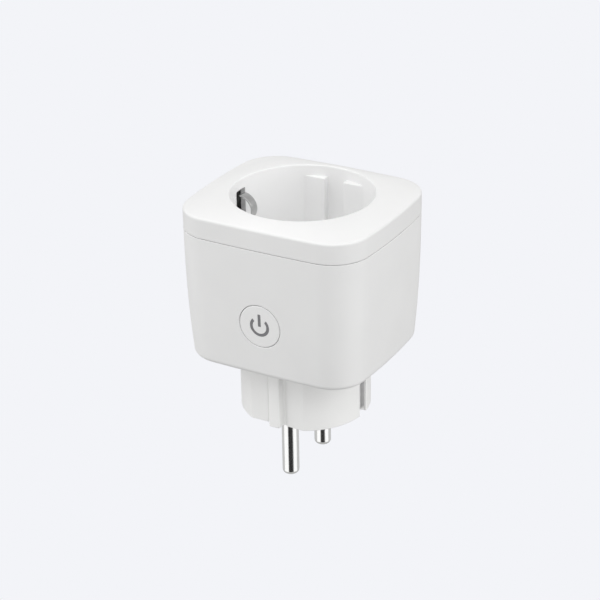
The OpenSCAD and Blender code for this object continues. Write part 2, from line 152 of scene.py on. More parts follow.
def body_xy(z, inset=0.0, th=None):
    """Points of the outline at height z, moved inwards by inset, at the given polar angles."""
    th = TH if th is None else th
    w, d, r = section(z)
    ax, by = w / 2 - CROWN_X, d / 2 - CROWN_Y
    cx, cy = corner_centre(w, d, r)
    a1, a2 = math.atan2(cy, cx - ax), math.atan2(cy - by, cx)
    rc = r - inset
    j1 = math.atan2(cy + rc * math.sin(a1), cx + rc * math.cos(a1))
    j2 = math.atan2(cy + rc * math.sin(a2), cx + rc * math.cos(a2))
    q = np.arctan2(np.abs(np.sin(th)), np.abs(np.cos(th)))
    u0, u1 = np.cos(q), np.sin(q)

    def hit(px, py, rr):
        b = u0 * px + u1 * py
        return b + np.sqrt(np.maximum(b * b - (px * px + py * py) + rr * rr, 0))

    s = np.where(q < j1, hit(ax, 0, CROWN_X - inset), np.where(q < j2, hit(cx, cy, rc), hit(0, by, CROWN_Y - inset)))
    return np.stack([s * np.cos(th), s * np.sin(th)], 1)


def body_ring(z, inset=0.0):
    p = body_xy(z, inset)
    return np.column_stack([p, np.full(len(p), z)])


def circle_ring(r, z, th=None):
    th = TH if th is None else th
    return np.column_stack([r * np.cos(th), r * np.sin(th), np.full(len(th), z)])


def face_y(x, z, inset=0.0):
    """Y of the button side's surface."""
    d = np.array([section(v)[1] for v in np.atleast_1d(z)])
    return -((d / 2 - CROWN_Y) + np.sqrt((CROWN_Y - inset) ** 2 - np.atleast_1d(x) ** 2))


# ---------------------------------------------------------------------------
# mesh building
# ---------------------------------------------------------------------------
class Sheet:
    """Vertices in millimetres and faces, built ring by ring."""

    def __init__(self):
        self.v, self.f = [], []

    def ring(self, pts):
        i = len(self.v)
        self.v.extend(tuple(float(c) for c in p) for p in pts)
        return list(range(i, len(self.v)))

    def bridge(self, a, b, skip=()):
        n = len(a)
        for i in range(n):
            if i in skip:
                continue
            j = (i + 1) % n
            self.f.append((a[i], a[j], b[j], b[i]))

    def fan(self, a, p):
        c = self.ring([p])[0]
        n = len(a)
        for i in range(n):
            self.f.append((a[i], a[(i + 1) % n], c))

    def cap(self, a):
        self.f.append(tuple(a))

    def loft(self, rings):
        ids = [self.ring(r) for r in rings]
        for a, b in zip(ids, ids[1:]):
            self.bridge(a, b)
        return ids

    def make(self, name):
        me = bpy.data.meshes.new(name)
        me.from_pydata(self.v, [], self.f)
        bm = bmesh.new()
        bm.from_mesh(me)
        bmesh.ops.remove_doubles(bm, verts=bm.verts, dist=1e-5)
        bmesh.ops.recalc_face_normals(bm, faces=bm.faces)
        bm.to_mesh(me)
        bm.free()
        ob = bpy.data.objects.new(name, me)
        bpy.context.scene.collection.objects.link(ob)
        return ob


def lathe(name, profile, seg=96, origin=(0, 0, 0)):
    """Closed solid of revolution about Z. The profile runs from axis to axis as (r, z)."""
    s = Sheet()
    th = np.linspace(0, 2 * math.pi, seg, endpoint=False)
    body = [p for p in profile if p[0] > 1e-6]
    ids = s.loft([circle_ring(r, z, th) for r, z in body])
    s.fan(ids[0], (0, 0, body[0][1]))
    s.fan(ids[-1], (0, 0, body[-1][1]))
    s.v = [(x + origin[0], y + origin[1], z + origin[2]) for x, y, z in s.v]
    return s.make(name)


def prism(name, outline, z0, z1):
    """Closed prism of a 2-D outline between two heights."""
    s = Sheet()
    a = s.ring([(x, y, z0) for x, y in outline])
    b = s.ring([(x, y, z1) for x, y in outline])
    s.bridge(a, b)
    s.cap(a)
    s.cap(b)
    return s.make(name)


def slab(name, lo, hi):
    return prism(name, [(lo[0], lo[1]), (hi[0], lo[1]), (hi[0], hi[1]), (lo[0], hi[1])], lo[2], hi[2])


def boolean(ob, cutter, op):
    """Applies one exact boolean, then removes the cutter."""
    before = len(ob.data.vertices)
    result = None
    for solver in ("MANIFOLD", "EXACT"):
        m = ob.modifiers.new("cut", "BOOLEAN")
        m.operation, m.solver, m.object = op, solver, cutter
        bpy.context.view_layer.update()
        dg = bpy.context.evaluated_depsgraph_get()
        me = bpy.data.meshes.new_from_object(ob.evaluated_get(dg))
        ob.modifiers.remove(m)
        if len(me.vertices) > 0 and len(me.vertices) != before:
            result = me
            break
        bpy.data.meshes.remove(me)
    if result is None:
        raise RuntimeError(f"boolean {op} on {ob.name} changed nothing")
    old = ob.data
    ob.data = result
    bpy.data.meshes.remove(old)
    me = cutter.data
    bpy.data.objects.remove(cutter)
    bpy.data.meshes.remove(me)


def arc_pts(cx, cy, r, a0, a1, n):
    return [(cx + r * math.cos(rad(mix(a0, a1, i / n))), cy + r * math.sin(rad(mix(a0, a1, i / n)))) for i in range(n + 1)]


def rounded(points, steps=5):
    """Closed outline; each point is (x, y) or (x, y, radius) for a rounded corner."""
    out = []
    n = len(points)
    for i, p in enumerate(points):
        r = p[2] if len(p) > 2 else 0
        c = np.array(p[:2], float)
        if r <= 0:
            out.append(tuple(c))
            continue
        a = np.array(points[i - 1][:2], float) - c
        b = np.array(points[(i + 1) % n][:2], float) - c
        a, b = a / np.linalg.norm(a), b / np.linalg.norm(b)
        half = math.acos(max(-1, min(1, float(a @ b)))) / 2
        t = r / math.tan(half)
        mid = (a + b) / np.linalg.norm(a + b)
        o = c + mid * r / math.sin(half)
        s, e = c + a * t - o, c + b * t - o
        a0 = math.atan2(s[1], s[0])
        da = math.atan2(e[1], e[0]) - a0
        da = (da + math.pi) % (2 * math.pi) - math.pi
        out += [(o[0] + r * math.cos(a0 + da * k / steps), o[1] + r * math.sin(a0 + da * k / steps)) for k in range(steps + 1)]
    return out


def inset_outline(pts, e):
    """Moves a counter-clockwise outline inwards by e."""
    p = np.array(pts, float)
    a, b = np.roll(p, 1, 0), np.roll(p, -1, 0)
    d1, d2 = p - a, b - p
    d1 /= np.linalg.norm(d1, axis=1)[:, None]
    d2 /= np.linalg.norm(d2, axis=1)[:, None]
    n1 = np.column_stack([-d1[:, 1], d1[:, 0]])
    n2 = np.column_stack([-d2[:, 1], d2[:, 0]])
    m = n1 + n2
    m /= np.maximum(1e-9, (m * n1).sum(1))[:, None]
    return p + m * e


def quarter(n):
    return [90.0 * i / n for i in range(n + 1)]


def finish_piece(ob, body, replaces, material, angle=32, weighted=True):
    """Scales to metres, marks the crisp edges, and puts the piece on its body."""
    me = ob.data
    me.transform(Matrix.Scale(MM, 4))
    bm = bmesh.new()
    bm.from_mesh(me)
    bmesh.ops.dissolve_degenerate(bm, dist=2e-8, edges=bm.edges)
    bmesh.ops.recalc_face_normals(bm, faces=bm.faces)
    for f in bm.faces:
        f.smooth = True
    for e in bm.edges:
        e.smooth = not (len(e.link_faces) != 2 or e.calc_face_angle(0) > rad(angle))
    bm.to_mesh(me)
    bm.free()
    if weighted:
        m = ob.modifiers.new("normals", "WEIGHTED_NORMAL")
        m.mode, m.keep_sharp, m.weight = "FACE_AREA", True, 50
        bpy.context.view_layer.update()
        new = bpy.data.meshes.new_from_object(ob.evaluated_get(bpy.context.evaluated_depsgraph_get()))
        ob.modifiers.clear()
        old = ob.data
        ob.data = new
        bpy.data.meshes.remove(old)
    ob.data.name = ob.name
    ob.data.materials.clear()
    ob.data.materials.append(material)
    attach(ob, body)
    if replaces:
        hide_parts(*replaces)
    return ob


# ---------------------------------------------------------------------------
# materials: all procedural, on object coordinates
# ---------------------------------------------------------------------------
def new_material(name):
    m = bpy.data.materials.new(name)
    m.use_nodes = True
    nt = m.node_tree
    nt.nodes.clear()
    out = nt.nodes.new("ShaderNodeOutputMaterial")
    bs = nt.nodes.new("ShaderNodeBsdfPrincipled")
    nt.links.new(bs.outputs["BSDF"], out.inputs["Surface"])
    co = nt.nodes.new("ShaderNodeTexCoord")
    return m, nt, bs, co.outputs["Object"]


def noise(nt, co, size_mm, detail=3.0, rough=0.5, stretch=None, distortion=0.0):
    """Noise whose features are about size_mm across; stretch scales it along each axis."""
    n = nt.nodes.new("ShaderNodeTexNoise")
    n.inputs["Scale"].default_value = 1.0 / (size_mm * MM)
    n.inputs["Detail"].default_value = detail
    n.inputs["Roughness"].default_value = rough
    n.inputs["Distortion"].default_value = distortion
    if stretch:
        mp = nt.nodes.new("ShaderNodeMapping")
        mp.inputs["Scale"].default_value = stretch
        nt.links.new(co, mp.inputs["Vector"])
        nt.links.new(mp.outputs["Vector"], n.inputs["Vector"])
    else:
        nt.links.new(co, n.inputs["Vector"])
    return n.outputs["Fac"]


def remap(nt, value, lo, hi, from_lo=0.3, from_hi=0.7):
    m = nt.nodes.new("ShaderNodeMapRange")
    m.inputs["From Min"].default_value = from_lo
    m.inputs["From Max"].default_value = from_hi
    m.inputs["To Min"].default_value = lo
    m.inputs["To Max"].default_value = hi
    nt.links.new(value, m.inputs["Value"])
    return m.outputs["Result"]


def two_tone(nt, fac, c0, c1, p0=0.3, p1=0.7):
    r = nt.nodes.new("ShaderNodeValToRGB")
    r.color_ramp.elements[0].position = p0
    r.color_ramp.elements[1].position = p1
    r.color_ramp.elements[0].color = (*c0, 1)
    r.color_ramp.elements[1].color = (*c1, 1)
    nt.links.new(fac, r.inputs["Fac"])
    return r.outputs["Color"]


def bump(nt, heights, last=None):
    """Chains bump nodes; heights is a list of (value, strength, distance in mm)."""
    out = last
    for h, strength, dist in heights:
        b = nt.nodes.new("ShaderNodeBump")
        b.inputs["Strength"].default_value = strength
        b.inputs["Distance"].default_value = dist * MM
        nt.links.new(h, b.inputs["Height"])
        if out is not None:
            nt.links.new(out, b.inputs["Normal"])
        out = b.outputs["Normal"]
    return out


def shade(c, k):
    return tuple(min(1.0, v * k) for v in c)


def zoned(nt, co, mask, from_mm, to_mm, near, far):
    """Blends two colours by how far a point lies from the origin along the masked axes."""
    flat = nt.nodes.new("ShaderNodeVectorMath")
    flat.operation = "MULTIPLY"
    flat.inputs[1].default_value = mask
    nt.links.new(co, flat.inputs[0])
    length = nt.nodes.new("ShaderNodeVectorMath")
    length.operation = "LENGTH"
    nt.links.new(flat.outputs["Vector"], length.inputs[0])
    fac = remap(nt, length.outputs["Value"], 0.0, 1.0, from_mm * MM, to_mm * MM)
    m = nt.nodes.new("ShaderNodeMix")
    m.data_type = "RGBA"
    nt.links.new(fac, m.inputs[0])
    nt.links.new(near, m.inputs[6])
    nt.links.new(far, m.inputs[7])
    return m.outputs[2]


def plastic(name, colour, rough=0.42, grain=0.16, depth=0.006, spread=0.05, tone=0.012, coat=0.0, ior=1.5, subsurface=0.0, inner=None):
    """Moulded plastic: spark-eroded grain, slow tone and gloss drift; inner is (radius in mm, colour) of a centre
    painted lighter than the rest, painted light.
    """
    m, nt, bs, co = new_material(name)
    slow = noise(nt, co, 14.0, 2.0)
    fine = noise(nt, co, grain, 4.0, 0.6)
    mid = noise(nt, co, 1.6, 3.0, 0.55)
    base = two_tone(nt, slow, shade(colour, 1 - tone), shade(colour, 1 + tone))
    # painted light: within the inner radius the base colour is lighter, standing in for light that does not reach the
    # recess
    if inner:
        painted_light_middle = two_tone(nt, slow, shade(inner[1], 1 - tone), shade(inner[1], 1 + tone))
        base = zoned(nt, co, (1, 1, 0), inner[0] - 0.1, inner[0] + 0.1, painted_light_middle, base)
    nt.links.new(base, bs.inputs["Base Color"])
    nt.links.new(remap(nt, mid, rough - spread, rough + spread), bs.inputs["Roughness"])
    nt.links.new(bump(nt, [(mid, 0.25, depth * 1.2), (fine, 0.5, depth)]), bs.inputs["Normal"])
    bs.inputs["IOR"].default_value = ior
    if coat:
        bs.inputs["Coat Weight"].default_value = coat
        bs.inputs["Coat Roughness"].default_value = 0.12
    if subsurface:
        bs.inputs["Subsurface Weight"].default_value = subsurface
        bs.inputs["Subsurface Radius"].default_value = (1.0, 0.9, 0.8)
        bs.inputs["Subsurface Scale"].default_value = 0.0012
    return m


def metal(name, colour, rough=0.2, spread=0.05, stretch=(1, 1, 40), line=0.35, depth=0.0012, tone=0.05, tarnish=0.0, upper=None):
    """Plated metal with fine working lines across or along it; upper is (height in mm, factor) of a top painted darker,
    painted shade.
    """
    m, nt, bs, co = new_material(name)
    lines = noise(nt, co, line, 3.0, 0.6, stretch=stretch)
    patch = noise(nt, co, 3.5, 3.0, 0.55)
    base = two_tone(nt, patch, shade(colour, 1 - tone - tarnish), shade(colour, 1 + tone))
    # painted shade: above the given height the same metal is painted darker
    if upper:
        painted_shade_colour = shade(colour, upper[1])
        base = zoned(nt, co, (0, 0, 1), upper[0] - 2, upper[0] + 2, base, two_tone(nt, patch, shade(painted_shade_colour, 1 - tone - tarnish), shade(painted_shade_colour, 1 + tone)))
    nt.links.new(base, bs.inputs["Base Color"])
    nt.links.new(remap(nt, lines, rough - spread, rough + spread), bs.inputs["Roughness"])
    nt.links.new(bump(nt, [(lines, 0.35, depth)]), bs.inputs["Normal"])
    bs.inputs["Metallic"].default_value = 1.0
    return m


def laminate(name, colour, weave=0.45):
    """Solder-masked board: glass weave under a gloss coat, with copper tracks under the mask."""
    m, nt, bs, co = new_material(name)
    w = nt.nodes.new("ShaderNodeTexWave")
    w.wave_type, w.bands_direction = "BANDS", "DIAGONAL"
    w.inputs["Scale"].default_value = 0.3 / (weave * MM)
    nt.links.new(co, w.inputs["Vector"])
    tracks = nt.nodes.new("ShaderNodeTexVoronoi")
    tracks.distance = "CHEBYCHEV"
    tracks.inputs["Scale"].default_value = 1.0 / (2.4 * MM)
    nt.links.new(co, tracks.inputs["Vector"])
    nt.links.new(two_tone(nt, tracks.outputs["Distance"], shade(colour, 1.5), shade(colour, 0.85), 0.3, 0.36), bs.inputs["Base Color"])
    fine = noise(nt, co, 0.5, 3.0)
    nt.links.new(remap(nt, fine, 0.24, 0.36), bs.inputs["Roughness"])
    nt.links.new(bump(nt, [(w.outputs["Fac"], 0.15, 0.01), (tracks.outputs["Distance"], 0.2, 0.03)]), bs.inputs["Normal"])
    bs.inputs["Coat Weight"].default_value = 0.4
    bs.inputs["Coat Roughness"].default_value = 0.15
    return m


def winding(name, colour, pitch=0.32):
    """Layers of enamelled wire round a vertical coil."""
    m, nt, bs, co = new_material(name)
    w = nt.nodes.new("ShaderNodeTexWave")
    w.wave_type, w.bands_direction = "BANDS", "Z"
    w.inputs["Scale"].default_value = 0.3142 / (pitch * MM)
    w.inputs["Distortion"].default_value = 0.4
    nt.links.new(co, w.inputs["Vector"])
    # painted shade: the wire is darker in the grooves between turns, where the bump is low
    nt.links.new(two_tone(nt, w.outputs["Fac"], shade(colour, 0.45), shade(colour, 1.1), 0.1, 0.6), bs.inputs["Base Color"])
    nt.links.new(remap(nt, noise(nt, co, 0.6), 0.22, 0.36), bs.inputs["Roughness"])
    nt.links.new(bump(nt, [(w.outputs["Fac"], 0.9, 0.08)]), bs.inputs["Normal"])
    bs.inputs["Metallic"].default_value = 0.85
    return m


M = {
    "shell_white": plastic("shell_white", (0.80, 0.80, 0.80), rough=0.46, grain=0.17, depth=0.007),
    # the cover is painted lighter within 20 mm of the axis, over the recess: painted light for the shaded recess
    "cover_white": plastic("cover_white", (0.79, 0.79, 0.79), rough=0.42, grain=0.15, depth=0.005, inner=(20.0, (0.845, 0.845, 0.845))),
    "plug_white": plastic("plug_white", (0.89, 0.89, 0.885), rough=0.40, grain=0.14, depth=0.005),
    "button_white": plastic("button_white", (0.82, 0.82, 0.82), rough=0.40, grain=0.13, depth=0.004),
    "icon_grey": plastic("icon_grey", (0.17, 0.17, 0.18), rough=0.30, grain=0.12, depth=0.003, tone=0.06, coat=0.2),
    "pin_nickel": metal("pin_nickel", (0.88, 0.88, 0.875), rough=0.13, spread=0.02, stretch=(1, 1, 30), line=0.9, depth=0.0008, tone=0.02),
    # the straps' clip end, above 44 mm, is painted darker than the part in the plug's channel: painted shade
    "earth_steel": metal("earth_steel", (0.83, 0.83, 0.83), rough=0.34, spread=0.06, stretch=(8, 8, 0.5), line=0.5, tone=0.06, tarnish=0.04, upper=(44.0, 0.62)),
    "contact_brass": metal("contact_brass", (0.80, 0.60, 0.28), rough=0.28, stretch=(6, 6, 1), tone=0.06, tarnish=0.05),
    "holder_plastic": plastic("holder_plastic", (0.66, 0.66, 0.63), rough=0.5, grain=0.2, depth=0.008, tone=0.03),
    "shutter_plastic": plastic("shutter_plastic", (0.74, 0.74, 0.73), rough=0.38, grain=0.14, depth=0.004, tone=0.02),
    "spring_wire": metal("spring_wire", (0.62, 0.62, 0.64), rough=0.25, stretch=(1, 1, 6), line=0.2),
    "switch_black": plastic("switch_black", (0.022, 0.022, 0.024), rough=0.45, grain=0.12, depth=0.006, tone=0.15),
    "switch_grey": plastic("switch_grey", (0.22, 0.22, 0.23), rough=0.42, grain=0.12, depth=0.004, tone=0.08),
    "led_lens": plastic("led_lens", (0.86, 0.84, 0.66), rough=0.14, grain=0.3, depth=0.001, tone=0.05, coat=0.6),
    "board_green": laminate("board_green", (0.02, 0.16, 0.07)),
    "module_blue": laminate("module_blue", (0.02, 0.045, 0.17), weave=0.3),
    "shield_tin": metal("shield_tin", (0.72, 0.72, 0.72), rough=0.24, stretch=(1, 1, 12), line=0.6, tone=0.04),
    "header_black": plastic("header_black", (0.028, 0.028, 0.03), rough=0.5, grain=0.12, depth=0.006, tone=0.15),
    "relay_blue": plastic("relay_blue", (0.02, 0.07, 0.34), rough=0.22, grain=0.4, depth=0.002, tone=0.06, coat=0.3),
    "relay_black": plastic("relay_black", (0.03, 0.03, 0.032), rough=0.45, grain=0.14, depth=0.006, tone=0.12),
    "coil_copper": winding("coil_copper", (0.62, 0.27, 0.11)),
    "relay_iron": metal("relay_iron", (0.42, 0.42, 0.43), rough=0.38, stretch=(4, 4, 4), line=0.6, tone=0.08, tarnish=0.06),
    "capacitor_yellow": plastic("capacitor_yellow", (0.72, 0.48, 0.04), rough=0.28, grain=0.3, depth=0.003, tone=0.05, coat=0.3),
    "capacitor_sleeve": plastic("capacitor_sleeve", (0.03, 0.03, 0.075), rough=0.26, grain=0.5, depth=0.003, tone=0.1, coat=0.4),
    "ferrite": plastic("ferrite", (0.07, 0.07, 0.072), rough=0.6, grain=0.18, depth=0.012, tone=0.2),
    "varistor_blue": plastic("varistor_blue", (0.03, 0.14, 0.46), rough=0.3, grain=0.6, depth=0.012, tone=0.08, coat=0.3),
    "resistor_green": plastic("resistor_green", (0.22, 0.42, 0.32), rough=0.5, grain=0.3, depth=0.012, tone=0.1),
    "chip_black": plastic("chip_black", (0.025, 0.025, 0.026), rough=0.55, grain=0.08, depth=0.006, tone=0.15),
    "shunt_metal": metal("shunt_metal", (0.55, 0.36, 0.23), rough=0.36, stretch=(2, 8, 8), line=0.5, tone=0.08),
    "screw_steel": metal("screw_steel", (0.66, 0.66, 0.67), rough=0.26, stretch=(3, 3, 3), line=0.4, tone=0.08, tarnish=0.04),
}

# every CAD node gets the finish of its slot
slot_of = {s["node"]: s["material_slot"] for s in frame["record"]["subparts"]}
for node_name, node in frame["nodes"].items():
    for ms in node.material_slots:
        ms.material = M[slot_of[node_name]]
    if not node.material_slots:
        node.data.materials.append(M[slot_of[node_name]])


# ---------------------------------------------------------------------------
# main shell
# ---------------------------------------------------------------------------
def make_shell():
    s = Sheet()
    hole = PLUG_R + 0.08
    zs = ([UNDER_Z + FOOT, UNDER_Z + FOOT + 0.2] + list(np.linspace(21.0, 25.0, 5)) + list(np.linspace(25.0, 43.6, 24))[1:]
          + list(np.linspace(43.6, SHELL_TOP - 0.4, 13))[1:] + [SHELL_TOP - 0.08])
    rings = []
    # edge of the plug hole, then the underside
    for a in quarter(4):
        rings.append(circle_ring(hole + 0.06 - 0.06 * math.cos(rad(a)), UNDER_Z + 0.06 - 0.06 * math.sin(rad(a))))
    foot0 = body_ring(UNDER_Z, FOOT)
    for t in (0.08, 0.4, 0.7, 0.95):
        c = circle_ring(hole + 0.06, UNDER_Z)
        rings.append(mix(c, foot0, t))
    for a in quarter(9):
        z = UNDER_Z + FOOT * (1 - math.cos(rad(a)))
        rings.append(body_ring(z, FOOT * (1 - math.sin(rad(a)))))
    wall_start = len(rings) - 1
    for z in zs[1:]:
        rings.append(body_ring(z))
    outer = {round(z, 4): wall_start + i for i, z in enumerate(zs)}
    # eased upper edge
    for a in quarter(4)[1:]:
        e = 0.08
        rings.append(body_ring(SHELL_TOP - e + e * math.sin(rad(a)), e * (1 - math.cos(rad(a)))))
    for i in (0.4, 1.0, 1.6):
        rings.append(body_ring(SHELL_TOP, i))
    for a in quarter(3):
        e = 0.14
        rings.append(body_ring(SHELL_TOP - e + e * math.cos(rad(a)), WALL - e + e * math.sin(rad(a))))
    inner = {}
    for z in reversed([z for z in zs if 20.9 < z < SHELL_TOP - 0.2]):
        inner[round(z, 4)] = len(rings)
        rings.append(body_ring(z, WALL))
    for a in quarter(4)[1:]:
        rings.append(body_ring(21.0 - 0.5 * math.sin(rad(a)), WALL + 0.5 * (1 - math.cos(rad(a)))))
    floor0 = body_ring(20.5, WALL + 0.5)
    for t in (0.3, 0.7, 1.0):
        rings.append(mix(floor0, circle_ring(hole, 20.5), t))
    ids = [s.ring(r) for r in rings]

    # window in the button side, on the same columns and rows inside and out
    cols = [j for j in range(NC) if rings[outer[25.0]][j][1] < 0 and abs(rings[outer[25.0]][j][0]) < 9.5]
    j0, j1 = cols[0], cols[-1]
    rows = [z for z in sorted(outer) if 24.99 <= z <= 43.61]
    gap_out = {(outer[a], j) for a in rows[:-1] for j in range(j0, j1)}
    gap_in = {(inner[b], j) for b in rows[1:] for j in range(j0, j1)}
    n = len(ids)
    for k in range(n):
        a, b = ids[k], ids[(k + 1) % n]
        for j in range(NC):
            if (k, j) in gap_out or (k, j) in gap_in:
                continue
            s.f.append((a[j], a[(j + 1) % NC], b[(j + 1) % NC], b[j]))

    def border(where):
        out = [ids[where[rows[0]]][j] for j in range(j0, j1)]
        out += [ids[where[z]][j1] for z in rows[:-1]]
        out += [ids[where[rows[-1]]][j] for j in range(j1, j0, -1)]
        out += [ids[where[z]][j0] for z in reversed(rows[1:])]
        return out

    b_out, b_in = border(outer), border(inner)
    p = np.array([s.v[i] for i in b_out])
    phi = np.arctan2(p[:, 2] - BUTTON_Z, p[:, 0])

    def hole_ring(rho, depth, inset=0.0):
        x, z = rho * np.cos(phi), BUTTON_Z + rho * np.sin(phi)
        h = 0.02
        gx = (face_y(x + h, z, inset) - face_y(x - h, z, inset)) / (2 * h)
        gz = (face_y(x, z + h, inset) - face_y(x, z - h, inset)) / (2 * h)
        nrm = np.stack([gx, -np.ones_like(gx), gz], 1)
        nrm /= np.linalg.norm(nrm, axis=1)[:, None]
        return np.stack([x, face_y(x, z, inset), z], 1) - nrm * depth

    e = 0.20
    seq = [hole_ring(r, 0) for r in (8.7, 8.0, 7.4, 6.9, BUTTON_HOLE_R + e + 0.08)]
    seq += [hole_ring(BUTTON_HOLE_R + e * (1 - math.sin(rad(a))), e * (1 - math.cos(rad(a)))) for a in quarter(6)]
    seq += [hole_ring(BUTTON_HOLE_R, 0.9)]
    seq += [hole_ring(BUTTON_HOLE_R, 0, WALL), hole_ring(7.2, 0, WALL), hole_ring(8.7, 0, WALL)]
    last = b_out
    for r in seq:
        cur = s.ring(r)
        s.bridge(last, cur)
        last = cur
    s.bridge(last, b_in)
    ob = s.make("shell_housing")

    # bosses for the case screws, counterbored from below
    for sx in (-1, 1):
        for sy in (-1, 1):
            at = (sx * POST_X, sy * POST_Y, 0)
            boolean(ob, lathe("boss", [(3.6, 19.4), (3.6, 28.8), (3.4, 29.0)], 64, at), "UNION")
            cut = [(2.98, 17.5), (2.98, 18.42), (2.86, UNDER_Z), (2.76, 18.56), (2.7, 18.68), (2.7, 23.0), (1.5, 23.0), (1.5, 30.0)]
            boolean(ob, lathe("bore", cut, 64, at), "DIFFERENCE")
    for sx in (-1, 1):
        for sy in (-1, 1):
            boolean(ob, lathe("rest", [(1.2, 20.0), (1.2, 23.95)], 32, (sx * 21.9, sy * 7, 0)), "UNION")
    return finish_piece(ob, "housing", ["main_shell"], M["shell_white"])


# ---------------------------------------------------------------------------
# top cover with the recess
# ---------------------------------------------------------------------------
def rib_solid(sx, sy):
    """Guide rib with a flat inner face and eased edges, rooted in the recess wall and floor."""
    ro = 20.6
    blunt = 10.2
    pts = [(RIB_IN, RIB_Y, 0.3)] + [(x, RIB_Y) for x in np.linspace(RIB_IN + 0.8, 9.3, 8)] + [(blunt, RIB_Y)]
    a0 = math.degrees(math.acos(blunt / ro))
    a1 = math.degrees(math.acos(RIB_IN / ro))
    pts += arc_pts(0, 0, ro, a0, a1, 12)
    line = rounded(pts, 5)
    s = Sheet()
    e = 0.22
    rings = [[(x, y, WELL_FLOOR - 0.6) for x, y in line]]
    for z in np.linspace(WELL_FLOOR, RIB_TOP - e - 0.2, 10):
        rings.append([(x, y, z) for x, y in line])
    for a in quarter(5):
        q = inset_outline(line, e * (1 - math.cos(rad(a))))
        rings.append([(x, y, RIB_TOP - e + e * math.sin(rad(a))) for x, y in q])
    rings = [[(x * sx, y * sy, z) for x, y, z in r] for r in rings]
    ids = s.loft(rings)
    s.cap(ids[0])
    s.cap(ids[-1])
    return s.make("rib")


def make_cover():
    s = Sheet()
    rings = []
    bot = round(WELL_FLOOR - FLOOR_T, 3)
    # underside of the recess floor and outside of its tube
    for r in (3.0, 7.0, 11.0, 15.0, 18.6, 20.7):
        rings.append(circle_ring(r, bot))
    for a in quarter(4):
        rings.append(circle_ring(TUBE_R - 0.4 + 0.4 * math.sin(rad(a)), bot + 0.4 * (1 - math.cos(rad(a)))))
    for z in np.linspace(bot + 1.2, 59.6, 9):
        rings.append(circle_ring(TUBE_R, z))
    for a in quarter(4):
        rings.append(circle_ring(TUBE_R + 0.4 * (1 - math.cos(rad(a))), 60.0 + 0.4 * math.sin(rad(a))))
    # inside face of the dome, then down the lip
    c = circle_ring(TUBE_R + 0.4, 60.4)
    side = body_ring(60.4, WALL + 1.6)
    rings.append(mix(c, side, 0.5))
    for a in quarter(3):
        rings.append(body_ring(60.1 + 0.3 * math.cos(rad(a)), WALL + 1.6 - 0.3 * math.sin(rad(a))))
    lip = round(COVER_BOTTOM - 3.0, 3)
    for z in (58.5, 57.0, 55.5, lip + 0.2):
        rings.append(body_ring(z, WALL + 1.3))
    for a in quarter(3):
        rings.append(body_ring(lip + 0.2 - 0.2 * math.sin(rad(a)), WALL + 1.3 - 0.2 * (1 - math.cos(rad(a)))))
    for a in quarter(3):
        rings.append(body_ring(lip + 0.3 - 0.3 * math.cos(rad(a)), WALL + 0.45 - 0.3 * math.sin(rad(a))))
    rings.append(body_ring(55.4, WALL + 0.15))
    ledge = SHELL_TOP + 0.02
    rings.append(body_ring(ledge, WALL + 0.15))
    rings.append(body_ring(ledge, 1.2))
    rings.append(body_ring(ledge, LEDGE_IN))
    rings.append(body_ring(COVER_BOTTOM, LEDGE_IN))
    rings.append(body_ring(COVER_BOTTOM, 0.25))
    e = 0.08
    for a in quarter(4):
        rings.append(body_ring(COVER_BOTTOM + e * (1 - math.cos(rad(a))), e * (1 - math.sin(rad(a)))))
    # outer band
    turn = 0.62                           # reach of the crease's rounding
    for z in np.linspace(COVER_BOTTOM + 0.4, EDGE_Z - turn - 0.25, 7):
        rings.append(body_ring(z))
    # rounded crease and domed face
    edge = body_ring(EDGE_Z)
    th = TH
    rim = RIM_FILLET + WELL_R
    reach = np.linalg.norm(edge[:, :2], axis=1) - rim

    def dome(t):
        """Point on the face, t is 0 at the crease and 1 at the rim, per column."""
        t = np.broadcast_to(np.asarray(t, float), (NC,))
        f = 1 - (1 - t) ** 1.5
        xy = mix(edge[:, :2], rim * np.column_stack([np.cos(th), np.sin(th)]), t[:, None])
        return np.column_stack([xy, mix(EDGE_Z, RIM_Z, f)])

    t_in = turn / reach
    below = body_ring(EDGE_Z - turn)
    start = dome(t_in)
    for k in range(9):
        u = k / 8
        rings.append((1 - u) ** 2 * below + 2 * u * (1 - u) * edge + u * u * start)
    for u in [0.03] + list(np.linspace(0.09, 0.97, 15)):
        rings.append(dome(mix(t_in, 1.0, u)))
    for a in quarter(7):
        rings.append(circle_ring(rim - RIM_FILLET * math.sin(rad(a)), RIM_Z - RIM_FILLET * (1 - math.cos(rad(a)))))
    rings.append(circle_ring(WELL_R, RIM_Z - RIM_FILLET - 0.15))
    for z in np.linspace(RIM_Z - 1.4, WELL_FLOOR + 0.6, 14):
        rings.append(circle_ring(WELL_R, z))
    for a in quarter(4):
        rings.append(circle_ring(WELL_R - 0.35 * (1 - math.cos(rad(a))), WELL_FLOOR + 0.35 * (1 - math.sin(rad(a)))))
    for r in (19.2, 16.0, 12.0, 8.0, 4.0):
        rings.append(circle_ring(r, WELL_FLOOR))
    ids = s.loft(rings)
    s.fan(ids[0], (0, 0, bot))
    s.fan(ids[-1], (0, 0, WELL_FLOOR))
    ob = s.make("top_cover_shell")
    for sx in (-1, 1):
        for sy in (-1, 1):
            boolean(ob, rib_solid(sx, sy), "UNION")
            at = (sx * POST_X, sy * POST_Y, 0)
            boolean(ob, lathe("post", [(2.8, 29.1), (3.0, 29.3), (3.0, 61.0)], 48, at), "UNION")
            boolean(ob, lathe("pilot", [(1.3, 28.0), (1.3, 40.0)], 32, at), "DIFFERENCE")
    for sy in (-1, 1):
        cut = [(ENTRY_R, bot - 1), (ENTRY_R, WELL_FLOOR - 0.5), (ENTRY_R + 0.5, WELL_FLOOR), (ENTRY_R + 0.8, WELL_FLOOR + 0.3)]
        boolean(ob, lathe("entry", cut, 72, (0, sy * PIN_Y, 0)), "DIFFERENCE")
    for sx in (-1, 1):
